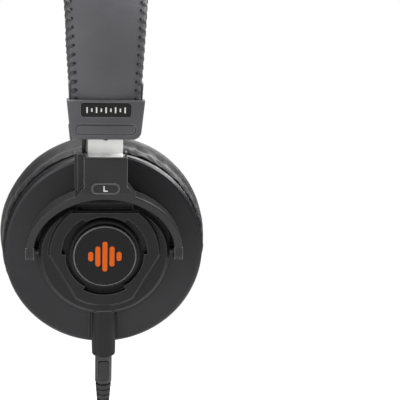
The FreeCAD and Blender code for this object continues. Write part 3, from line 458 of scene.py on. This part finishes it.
def make_cord():
    """The whole cord as one smooth curve, from the strain relief to the jack."""
    data = bpy.data.curves.new("audio_cord", "CURVE")
    data.dimensions = "3D"
    data.bevel_depth = CORD_DIAMETER / 2
    data.bevel_resolution = 3
    data.resolution_u = 6
    data.use_fill_caps = True
    spline = data.splines.new("NURBS")
    points = cord_points()
    spline.points.add(len(points) - 1)
    for place, point in zip(spline.points, points):
        place.co = (*point, 1)
    spline.order_u = 3
    spline.use_endpoint_u = True
    cord = bpy.data.objects.new("audio_cord", data)
    bpy.context.scene.collection.objects.link(cord)
    data.materials.append(MAT["cord"])
    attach(cord, "cord_plug")
    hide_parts("cord", "cord_tail", "cord_coil")
    return cord


cord = make_cord()


# ---------------------------------------------------------------- headband

STITCH_PITCH = 4.0 * MM
STITCH_IN = 2.4 * MM
LACE_HALF = 0.95 * MM
LACE_THICK = 0.26 * MM
LACE_PROUD = 0.05 * MM
LACE_SLANT = 0.8             # of the pitch that a lace moves along as it crosses the edge
# Section of a lace, as shares of its half width and thickness
LACE_SECTION = ((-1, 0), (-0.7, 0.7), (0, 1), (0.7, 0.7), (1, 0), (0.7, -0.6), (-0.7, -0.6))
HOLE_ALONG, HOLE_ACROSS, HOLE_LIFT = 0.75, 0.55, 0.16   # millimetres
CROWN_SWELL = 1.3 * MM       # the outer face is lower by this at its edges
INNER_SWELL = 1.5 * MM       # and the padded inner face by this
BAND_EDGE = 1.9 * MM
CROWN_OVER_CUP = 171.0       # millimetres, for the heights in BAND_WIDTHS


def shoulder_radius():
    """Radius of the band's shoulder arcs, which join the crown to the straight ends."""
    reach = CUP_CENTRE + AXIS_U * LINE_U + AXIS_W * STRAIGHT_TOP_W
    return (reach.x - CROWN_R * math.sin(CROWN_ANGLE)) / (math.cos(TILT) - math.sin(CROWN_ANGLE))


SHOULDER_R = shoulder_radius()
CROWN_ARC = CROWN_R * CROWN_ANGLE
SHOULDER_ARC = SHOULDER_R * (math.pi / 2 + TILT - CROWN_ANGLE)
STRAIGHT = STRAIGHT_TOP_W - BAND_END_W
HALF_LENGTH = CROWN_ARC + SHOULDER_ARC + STRAIGHT


def band_line(distance):
    """(point, outward direction) of the slider line at a distance from the crown, signed by side."""
    side = 1 if distance >= 0 else -1
    travel = abs(distance)
    turn = min(travel, CROWN_ARC) / CROWN_R
    x, z = CROWN_R * math.sin(turn), BAND_IN - CROWN_R * (1 - math.cos(turn))
    if travel > CROWN_ARC:
        start = turn
        turn = start + min(travel - CROWN_ARC, SHOULDER_ARC) / SHOULDER_R
        x += SHOULDER_R * (math.sin(turn) - math.sin(start))
        z -= SHOULDER_R * (math.cos(start) - math.cos(turn))
    past = max(travel - CROWN_ARC - SHOULDER_ARC, 0)
    x += past * math.cos(turn)
    z -= past * math.sin(turn)
    return Vector((side * x, 0, z)), Vector((side * math.sin(turn), 0, math.cos(turn)))


# (height from the level CROWN_OVER_CUP above the cup, half width), in millimetres
BAND_WIDTHS = ((-95.0, 16.6), (-91.0, 17.0), (-49.0, 19.8), (13.0, 20.4))


def band_half(z):
    """Half the band's width at a height, in metres."""
    heights = [(CUP_CENTRE.z + (CROWN_OVER_CUP + height) * MM) for height, _ in BAND_WIDTHS]
    return float(np.interp(z, heights, [half * MM for _, half in BAND_WIDTHS]))


def band_profile(half, count=14):
    """Closed cross-section (y, offset): crowned leather outside, softly padded inside, rounded edges."""
    outside, inside = [], []
    for index in range(count + 1):
        share = -1 + 2 * index / count
        swell = 1 - share ** 2
        outside.append((share * (half - BAND_EDGE), BAND_OUT - CROWN_SWELL * (1 - swell)))
        inside.append((-share * (half - BAND_EDGE), -BAND_IN + INNER_SWELL * (1 - swell)))
    right_edge, left_edge = [], []
    top, bottom = BAND_OUT - CROWN_SWELL, -BAND_IN + INNER_SWELL
    for index in range(1, 8):
        angle = math.pi * index / 8
        y = (half - BAND_EDGE) + BAND_EDGE * math.sin(angle) ** 0.45
        offset = (top + bottom) / 2 + (top - bottom) / 2 * math.cos(angle)
        right_edge.append((y, offset))
        left_edge.append((-y, -offset + top + bottom))
    return outside + right_edge + inside + left_edge


def wrinkle(point, scale, strength):
    """Smooth random lift at a point, of about -strength to strength."""
    return strength * noise.noise(point * scale)


def make_band():
    """Leatherette strap with a gentle crown and soft ripples, stronger on the padded inner side."""
    bm = bmesh.new()
    rows = []
    steps = 220
    for index in range(steps + 1):
        distance = -HALF_LENGTH + 2 * HALF_LENGTH * index / steps
        centre, out = band_line(distance)
        row = []
        for y, offset in band_profile(band_half(centre.z)):
            place = centre + out * offset + Vector((0, y, 0))
            padded = 1.0 if offset < 0 else 0.35
            lift = wrinkle(place, 55, 0.45 * MM * padded) + wrinkle(place, 190, 0.12 * MM)
            push = out if offset > 0 else -out
            row.append(place + push * (lift - 0.2 * MM))
        rows.append(row)
    capped_tube(bm, rows)
    band = new_piece("headband_wrap", bm, "leather", "headband")
    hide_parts("headband_cover")


def outer_face(distance, y):
    """Point on the strap's outer face, and the way out of it."""
    centre, out = band_line(distance)
    share = y / (band_half(centre.z) - BAND_EDGE)
    offset = BAND_OUT - CROWN_SWELL * share ** 2
    return centre + out * offset + Vector((0, y, 0)), out


def lace_points(distance, side):
    """One lace: from its hole in the outer face, slanting over the edge to the inner face."""
    points = []
    steps = 10
    middle = (BAND_OUT - CROWN_SWELL - BAND_IN + INNER_SWELL) / 2
    reach = (BAND_OUT + BAND_IN - CROWN_SWELL - INNER_SWELL) / 2
    for index in range(steps + 1):
        share = index / steps
        centre, out = band_line(distance + STITCH_PITCH * LACE_SLANT * share)
        half = band_half(centre.z)
        y = half - STITCH_IN + (STITCH_IN + LACE_PROUD) * math.sin(math.pi * share) ** 0.6
        offset = middle + (reach + LACE_PROUD) * math.cos(math.pi * share)
        points.append((centre + out * offset + Vector((0, side * y, 0)), out))
    return points


def flat_lace(bm, points, along):
    """Flat strip with a slightly domed back through points on the strap's edge."""
    rows = []
    for index, (point, out) in enumerate(points):
        before, after = points[max(index - 1, 0)][0], points[min(index + 1, len(points) - 1)][0]
        way = (after - before).normalized()
        across = (along - way * along.dot(way)).normalized()
        lift = way.cross(across)
        rows.append([point + across * (LACE_HALF * a) + lift * (LACE_THICK * b) for a, b in LACE_SECTION])
    capped_tube(bm, rows)


def painted_hole_shade(bm, place, along, out):
    """Near-black oval face just proud of the strap's outer face: painted shade standing for the hole's dark
    inside.
    """
    ring = []
    for step in range(10):
        angle = 2 * math.pi * step / 10
        flat = along * math.cos(angle) * HOLE_ALONG + Vector((0, math.sin(angle), 0)) * HOLE_ACROSS
        ring.append(bm.verts.new(place + (flat + out * HOLE_LIFT) * MM))
    bm.faces.new(ring)


def make_lacing():
    """Flat laces over both edges of the strap, and a near-black oval of painted shade over the hole at the
    start of each.
    """
    laces, hole_shades = bmesh.new(), bmesh.new()
    count = int((HALF_LENGTH - 12 * MM) / STITCH_PITCH)
    for index in range(-count, count + 1):
        distance = index * STITCH_PITCH
        along = (band_line(distance + 1 * MM)[0] - band_line(distance)[0]).normalized()
        for side in (-1, 1):
            flat_lace(laces, lace_points(distance, side), along)
            half = band_half(band_line(distance)[0].z)
            place, out = outer_face(distance - 0.2 * MM, side * (half - STITCH_IN - 0.5 * MM))
            painted_hole_shade(hole_shades, place, along, out)
    new_piece("headband_lacing", laces, "lace", "headband")
    new_piece("headband_lace_hole_shade", hole_shades, "hole", "headband")


make_band()
make_lacing()


# ---------------------------------------------------------------- ear cushions

# (u, r, softness, pucker) round the cushion's section in millimetres, starting at the skirt's lip
PAD_PROFILE = (
    (-7.0, 48.9, 0.0, 0.0), (-6.9, 49.4, 0.1, 0.4), (-7.3, 49.9, 0.3, 1.0), (-8.6, 50.4, 0.5, 1.0),
    (-10.6, 50.8, 0.8, 1.0), (-12.6, 50.9, 1.0, 0.9), (-14.4, 50.6, 1.0, 0.8), (-16.0, 50.2, 0.8, 0.6),
    (-18.2, 50.5, 0.6, 0.5), (-20.6, 51.2, 0.8, 0.35), (-23.4, 52.0, 1.0, 0.2), (-27.0, 52.3, 1.0, 0.1),
    (-31.0, 51.8, 1.0, 0.1), (-34.6, 50.0, 1.0, 0.1), (-37.6, 47.0, 1.0, 0.1), (-39.6, 43.2, 1.0, 0.1),
    (-40.3, 39.0, 1.0, 0.1), (-39.9, 35.2, 1.0, 0.1), (-38.4, 31.8, 1.0, 0.15), (-35.6, 29.2, 1.0, 0.3),
    (-31.6, 27.9, 1.0, 0.4), (-27.2, 27.6, 0.8, 0.5), (-22.6, 28.0, 0.6, 0.4), (-18.2, 28.6, 0.3, 0.2),
    (-17.7, 29.6, 0.0, 0.0), (-17.7, 48.2, 0.0, 0.0), (-12.6, 48.9, 0.0, 0.0),
)
OUTER_WALL_R = 40            # the section beyond this radius swells outwards


def fold_lift(u, ring, side):
    """Crumple of the skirt, -0.5 to about 1: narrow creased folds across it, uneven round the cushion."""
    where = Vector((u * 0.16, ring.y * 11, ring.z * 11 + 3 * side))
    fine = 1 - abs(noise.noise(where)) * 3.4
    slow = 0.65 + 0.7 * noise.noise(Vector((4 * side, ring.y * 1.6, ring.z * 1.6)))
    return max(-0.5, fine) * slow


def make_pad(tag, side):
    """Round leatherette cushion: puckered skirt, rolled rim, soft face and a sewn inner edge."""
    bm = bmesh.new()
    around = 260
    rows = []
    for step in range(around):
        angle = 2 * math.pi * step / around
        ring = Vector((0, math.cos(angle), math.sin(angle)))
        row = []
        for u, r, soft, pucker in PAD_PROFILE:
            slow = noise.noise(Vector((u * 0.08, ring.y * 2.4 + 7 * side, ring.z * 2.4)))
            lift = soft * slow * 0.45 + pucker * (fold_lift(u, ring, side) * 0.85 - 0.4)
            outward = (r + lift * (1 if r > OUTER_WALL_R else -0.5)) * MM
            row.append(local(u * MM, ring.y * outward, ring.z * outward - CUP_DROP, side))
        rows.append(row)
    grid_surface(bm, rows, close_rows=True, close_columns=True)
    pad = new_piece(f"ear_cushion_{tag}", bm, "pad", f"cup_{tag}")
    smooth = pad.modifiers.new("smooth", "SUBSURF")
    smooth.levels = smooth.render_levels = 1
    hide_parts(f"ear_pad_{tag}")


CLOTH_R = 26.7 * MM
CLOTH_U = -17.65             # millimetres along u
CLOTH_DOME = 0.35


def make_grille(tag, side):
    """Thin cloth over the driver, slightly domed by the frame behind it."""
    bm = bmesh.new()
    rows = []
    rings, around = 16, 96
    for ring in range(rings + 1):
        radius = CLOTH_R * max(ring / rings, 0.02)
        dome = CLOTH_DOME * math.cos(math.pi / 2 * ring / rings)
        row = []
        for step in range(around):
            angle = 2 * math.pi * step / around
            y, w = radius * math.cos(angle), radius * math.sin(angle) - CUP_DROP
            row.append(local((CLOTH_U - dome) * MM, y, w, side))
        rows.append(row)
    verts = grid_surface(bm, rows, close_columns=True)
    bm.faces.new(verts[0])
    cloth = new_piece(f"ear_cloth_{tag}", bm, "cloth", f"cup_{tag}")
    thick = cloth.modifiers.new("thick", "SOLIDIFY")
    thick.thickness = 0.3 * MM
    thick.offset = 0
    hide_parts(f"ear_grille_{tag}")


for tag, side in SIDES.items():
    make_pad(tag, side)
    make_grille(tag, side)


# ---------------------------------------------------------------- leads

LEAD_R = 1.0 * MM
# (u, y, w) in millimetres
LEAD_ROUTE = ((9.0, -10.05, 86.0), (9.0, -10.05, 70.0), (9.0, -10.05, 57.0), (9.05, -10.1, 53.0),
              (9.05, -10.1, 49.2))


def make_lead(tag, side):
    """Signal lead that drops beside the slider strip and turns into the yoke's channel."""
    bm = bmesh.new()
    tube_along(bm, [local(u * MM, y * MM, w * MM, side) for u, y, w in LEAD_ROUTE], LEAD_R, 14)
    lead = new_piece(f"signal_lead_{tag}", bm, "rubber", f"slider_{tag}")
    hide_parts(f"slider_lead_{tag}")


for tag, side in SIDES.items():
    make_lead(tag, side)


# ---------------------------------------------------------------- printed details and a painted highlight ring

# Millimetres in the cup frame
TICK_COUNT = 9
TICK_PITCH = 2.2
TICK_HALF_WIDTH = 0.34
TICK_HEIGHTS = (1.35, 0.8)   # half heights of the tall and the short ticks, which alternate
TICK_CAP = 0.16
LABEL_FACE_U = 15.6
LABEL_W = 71.6
DISC_RIM = ((16.18, 14.55), (16.24, 14.55), (15.46, 15.36), (15.40, 15.30))   # section, as (u, radius)


def make_label_ticks(tag, side):
    """White caps over the raised ticks of the name plate."""
    bm = bmesh.new()
    for step in range(TICK_COUNT):
        place = step - TICK_COUNT // 2
        height = TICK_HEIGHTS[place % 2]
        middle = place * TICK_PITCH
        corners = []
        for u in (LABEL_FACE_U, LABEL_FACE_U + TICK_CAP):
            for across, up in ((-1, -1), (1, -1), (1, 1), (-1, 1)):
                y, w = middle + across * TICK_HALF_WIDTH, LABEL_W + up * height
                corners.append(bm.verts.new(local(u * MM, y * MM, w * MM, side)))
        bm.faces.new(corners[4:])
        bm.faces.new(corners[3::-1])
        for index in range(4):
            after = (index + 1) % 4
            bm.faces.new((corners[index], corners[after], corners[after + 4], corners[index + 4]))
    new_piece(f"label_ticks_{tag}", bm, "white", "headband", smooth=False)


def make_disc_rim_highlight(tag, side):
    """Thin ring round the centre disc, lighter grey than the disc: a painted highlight on its chamfer."""
    bm = bmesh.new()
    rows = []
    for step in range(120):
        angle = 2 * math.pi * step / 120
        y, w = math.cos(angle) * MM, math.sin(angle) * MM
        rows.append([local(u * MM, r * y, r * w, side) for u, r in DISC_RIM])
    grid_surface(bm, rows, close_rows=True, close_columns=True)
    new_piece(f"disc_rim_highlight_{tag}", bm, "disc_rim_highlight", f"cup_{tag}")


for tag, side in SIDES.items():
    make_label_ticks(tag, side)
    make_disc_rim_highlight(tag, side)


# ---------------------------------------------------------------- CAD nodes

# CAD node: (material, width of its softened edges in metres); each has a left and a right node
FINISHES = {
    "end_cap_front": ("cap", 0.00035), "end_cap_back": ("cap", 0.0003), "cap_screws": ("screw", 0.0001),
    "detent_spring": ("slider", 0), "label_plate": ("label", 0.00012), "slider_strip": ("slider", 0.00015),
    "swivel_rivet": ("rivet", 0.0001), "yoke": ("yoke", 0.00025), "pivot_pins": ("screw", 0.0002),
    "ear_letter": ("white", 0), "hub_cover": ("hub", 0.0003), "cup_shell": ("shell", 0.0003),
    "trim_ring": ("trim", 0.0002), "centre_disc": ("disc", 0.00015), "badge": ("badge", 0.0001),
    "baffle": ("hub", 0.0002), "baffle_screws": ("screw", 0.0001), "driver_frame": ("hub", 0),
    "driver_magnet": ("magnet", 0.0003), "diaphragm": ("film", 0),
}
# The same for the nodes that come once
SINGLES = {
    "headband_foam": ("foam", 0), "headband_spring": ("slider", 0), "socket_boss": ("hub", 0.0003),
    "socket_pins": ("gold", 0), "plug_barrel": ("plug", 0.0002), "plug_button": ("relief", 0.0001),
    "strain_relief": ("relief", 0.0002), "coil_tie": ("tie", 0.0004), "jack_barrel": ("plug", 0.0003),
    "jack_pin": ("gold", 0.0001),
}


def finish_nodes():
    """Material and softened edges for every CAD node that stays."""
    finishes = {f"{name}_{tag}": look for name, look in FINISHES.items() for tag in SIDES}
    finishes.update(SINGLES)
    for name, (material, width) in finishes.items():
        paint(name, material)
        if width:
            soften(name, width)


finish_nodes()


# ---------------------------------------------------------------- stage and light

FLOOR_HALF = 4.0
FLOOR_DROP = 0.03            # gap under the lowest point of the object
FLOOR_GLOW = 0.95            # seen by the camera only, so that the floor meets the white backdrop
WORLD_STRENGTH = 0.07
# Name: (place, height of its aim over the cup, size, watts)
LAMPS = {
    "key": ((0.60, -0.55, -0.35), 0, 0.35, 1.6),
    "front": ((0.85, -0.42, 0.04), 0.06, 0.3, 2.8),
    "top": ((0.05, -0.12, 0.55), 0, 0.4, 8),
    "fill": ((0.16, 0.55, 0.34), 0, 0.3, 7),
    "behind": ((-0.7, 0.2, 0.35), 0, 0.6, 5),
}


def area_light(name, place, target, size, power):
    """Soft square lamp aimed at a point."""
    data = bpy.data.lights.new(name, "AREA")
    data.size = size
    data.energy = power
    lamp = bpy.data.objects.new(name, data)
    lamp.location = place
    lamp.rotation_mode = "QUATERNION"
    lamp.rotation_quaternion = (target - Vector(place)).to_track_quat("-Z", "Y")
    bpy.context.scene.collection.objects.link(lamp)


def make_floor():
    """Pale floor just below the hanging headphones, which also throws light up at them."""
    bm = bmesh.new()
    ends = (-FLOOR_HALF, FLOOR_HALF)
    grid_surface(bm, [[(x, y, cad_low.z - FLOOR_DROP) for y in ends] for x in ends])
    mesh = bpy.data.meshes.new("floor")
    bm.to_mesh(mesh)
    bm.free()
    floor = bpy.data.objects.new("floor", mesh)
    bpy.context.scene.collection.objects.link(floor)
    n = Nodes("mat_floor")
    tone = n.ramp(n.noise(3, 3), (0.78, 0.78, 0.78), (0.82, 0.82, 0.82))
    seen = n.add("ShaderNodeLightPath").outputs["Is Camera Ray"]
    glow = n.math("MULTIPLY", seen, FLOOR_GLOW)
    looks = {"base_color": tone, "roughness": 0.8, "emission_color": (1, 1, 1), "emission_strength": glow}
    mesh.materials.append(n.finish(**looks))


def make_world():
    """White backdrop, and dim surroundings so that the lamps do the lighting."""
    world = bpy.data.worlds.new("world")
    bpy.context.scene.world = world
    world.use_nodes = True
    tree = world.node_tree
    surroundings = tree.nodes["Background"]
    backdrop = tree.nodes.new("ShaderNodeBackground")
    for background in (surroundings, backdrop):
        background.inputs["Color"].default_value = (1, 1, 1, 1)
    surroundings.inputs["Strength"].default_value = WORLD_STRENGTH
    seen = tree.nodes.new("ShaderNodeLightPath")
    mix = tree.nodes.new("ShaderNodeMixShader")
    tree.links.new(seen.outputs["Is Camera Ray"], mix.inputs[0])
    tree.links.new(surroundings.outputs[0], mix.inputs[1])
    tree.links.new(backdrop.outputs[0], mix.inputs[2])
    tree.links.new(mix.outputs[0], tree.nodes["World Output"].inputs["Surface"])


bpy.context.scene.view_settings.view_transform = "Standard"
make_floor()
make_world()
for name, (place, aim_height, size, power) in LAMPS.items():
    area_light(name, place, CUP_CENTRE + Vector((0, 0, aim_height)), size, power)
